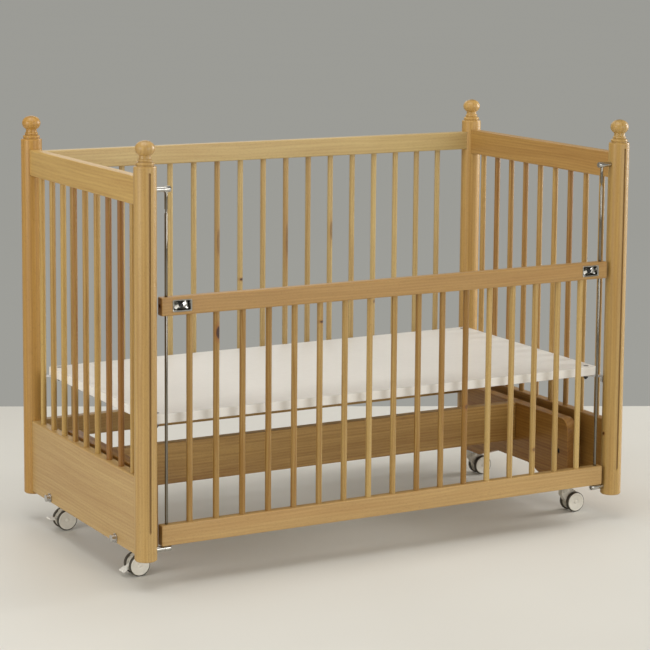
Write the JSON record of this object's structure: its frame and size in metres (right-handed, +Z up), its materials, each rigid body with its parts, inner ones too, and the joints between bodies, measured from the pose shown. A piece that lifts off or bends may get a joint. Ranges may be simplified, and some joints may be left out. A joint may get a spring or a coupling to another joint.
{
  "type": "baby crib",
  "caption": "Slatted wooden baby crib with round finial posts, a white mattress platform, one lowering side on guide rods and swivel casters.",
  "frame": {"origin": "on the floor, under the middle of the crib", "axes": "+X along the crib, +Y towards the fixed back side, +Z up; the lowering side faces -Y"},
  "size_m": [1.306, 0.712, 0.995],
  "materials": {
    "post_wood": "clear satin lacquer",
    "rail_wood": "clear satin lacquer",
    "spindle_wood": "clear satin lacquer",
    "side_wood": "clear satin lacquer",
    "inner_wood": "clear satin lacquer",
    "platform_white": "white laminate, satin",
    "chrome": "polished plate",
    "steel": "zinc plated",
    "black_steel": "black",
    "caster_grey": "moulded",
    "wheel_grey": "moulded, satin",
    "tyre": "soft tread",
    "tab_white": "moulded"
  },
  "bodies": {
    "frame": {"post_FL": "post_wood", "post_FR": "post_wood", "post_BL": "post_wood", "post_BR": "post_wood", "end_top_rail_L": "rail_wood", "end_top_rail_R": "rail_wood", "end_board_L": "rail_wood", "end_board_R": "rail_wood", "back_top_rail": "rail_wood", "back_bottom_rail": "rail_wood", "end_spindles_L": "spindle_wood", "end_spindles_R": "spindle_wood", "back_spindles": "spindle_wood", "carrier_L": "inner_wood", "carrier_R": "inner_wood", "stretcher": "inner_wood", "spacers": "inner_wood", "platform": "platform_white", "rod_pins": "chrome", "cap_bolts": "chrome", "guide_rod_L": "steel", "guide_rod_R": "steel", "platform_brackets": "steel", "bracket_screws": "steel", "caster_plates": "steel", "caster_screws": "steel", "platform_bolts": "black_steel", "platform_nuts": "black_steel", "stretcher_bolts": "black_steel", "carrier_bolts": "black_steel"},
    "drop_side": {"side_top_rail": "side_wood", "side_bottom_rail": "side_wood", "side_spindles": "spindle_wood", "latch_box_L": "chrome", "latch_box_R": "chrome"},
    "latch_L": {"latch_bolt_L": "chrome"},
    "latch_R": {"latch_bolt_R": "chrome"},
    "caster_FL": {"fork_FL": "caster_grey"},
    "roller_FL_front": {"wheel_FL_front": "wheel_grey", "tyre_FL_front": "tyre"},
    "roller_FL_back": {"wheel_FL_back": "wheel_grey", "tyre_FL_back": "tyre"},
    "brake_FL": {"brake_tab_FL": "tab_white"},
    "caster_FR": {"fork_FR": "caster_grey"},
    "roller_FR_front": {"wheel_FR_front": "wheel_grey", "tyre_FR_front": "tyre"},
    "roller_FR_back": {"wheel_FR_back": "wheel_grey", "tyre_FR_back": "tyre"},
    "caster_BL": {"fork_BL": "caster_grey"},
    "roller_BL_front": {"wheel_BL_front": "wheel_grey", "tyre_BL_front": "tyre"},
    "roller_BL_back": {"wheel_BL_back": "wheel_grey", "tyre_BL_back": "tyre"},
    "brake_BL": {"brake_tab_BL": "tab_white"},
    "caster_BR": {"fork_BR": "caster_grey"},
    "roller_BR_front": {"wheel_BR_front": "wheel_grey", "tyre_BR_front": "tyre"},
    "roller_BR_back": {"wheel_BR_back": "wheel_grey", "tyre_BR_back": "tyre"}
  },
  "joints": [
    {"name": "side_lift", "type": "slide", "parent": "frame", "child": "drop_side", "axis": [0, 0, 1], "range_m": [0, 0.208]},
    {"name": "latch_left", "type": "slide", "parent": "drop_side", "child": "latch_L", "axis": [-1, 0, 0], "range_m": [0, 0.0019]},
    {"name": "latch_right", "type": "slide", "parent": "drop_side", "child": "latch_R", "axis": [1, 0, 0], "range_m": [0, 0.0019]},
    {"name": "swivel_FL", "type": "hinge", "parent": "frame", "child": "caster_FL", "pos_m": [-0.573, -0.213, 0.05], "axis": [0, 0, 1], "continuous": true},
    {"name": "roll_FL_front", "type": "hinge", "parent": "caster_FL", "child": "roller_FL_front", "pos_m": [-0.597, -0.227, 0.025], "axis": [0, 1, 0], "continuous": true},
    {"name": "roll_FL_back", "type": "hinge", "parent": "caster_FL", "child": "roller_FL_back", "pos_m": [-0.597, -0.199, 0.025], "axis": [0, 1, 0], "continuous": true},
    {"name": "brake_FL", "type": "hinge", "parent": "caster_FL", "child": "brake_FL", "pos_m": [-0.611, -0.213, 0.028], "axis": [0, 1, 0], "range_deg": [0, 37]},
    {"name": "swivel_FR", "type": "hinge", "parent": "frame", "child": "caster_FR", "pos_m": [0.573, -0.213, 0.05], "axis": [0, 0, 1], "continuous": true},
    {"name": "roll_FR_front", "type": "hinge", "parent": "caster_FR", "child": "roller_FR_front", "pos_m": [0.597, -0.227, 0.025], "axis": [0, 1, 0], "continuous": true},
    {"name": "roll_FR_back", "type": "hinge", "parent": "caster_FR", "child": "roller_FR_back", "pos_m": [0.597, -0.199, 0.025], "axis": [0, 1, 0], "continuous": true},
    {"name": "swivel_BL", "type": "hinge", "parent": "frame", "child": "caster_BL", "pos_m": [-0.573, 0.213, 0.05], "axis": [0, 0, 1], "continuous": true},
    {"name": "roll_BL_front", "type": "hinge", "parent": "caster_BL", "child": "roller_BL_front", "pos_m": [-0.597, 0.199, 0.025], "axis": [0, 1, 0], "continuous": true},
    {"name": "roll_BL_back", "type": "hinge", "parent": "caster_BL", "child": "roller_BL_back", "pos_m": [-0.597, 0.227, 0.025], "axis": [0, 1, 0], "continuous": true},
    {"name": "brake_BL", "type": "hinge", "parent": "caster_BL", "child": "brake_BL", "pos_m": [-0.611, 0.213, 0.028], "axis": [0, 1, 0], "range_deg": [-37, 0]},
    {"name": "swivel_BR", "type": "hinge", "parent": "frame", "child": "caster_BR", "pos_m": [0.573, 0.213, 0.05], "axis": [0, 0, 1], "continuous": true},
    {"name": "roll_BR_front", "type": "hinge", "parent": "caster_BR", "child": "roller_BR_front", "pos_m": [0.597, 0.199, 0.025], "axis": [0, 1, 0], "continuous": true},
    {"name": "roll_BR_back", "type": "hinge", "parent": "caster_BR", "child": "roller_BR_back", "pos_m": [0.597, 0.227, 0.025], "axis": [0, 1, 0], "continuous": true}
  ]
}
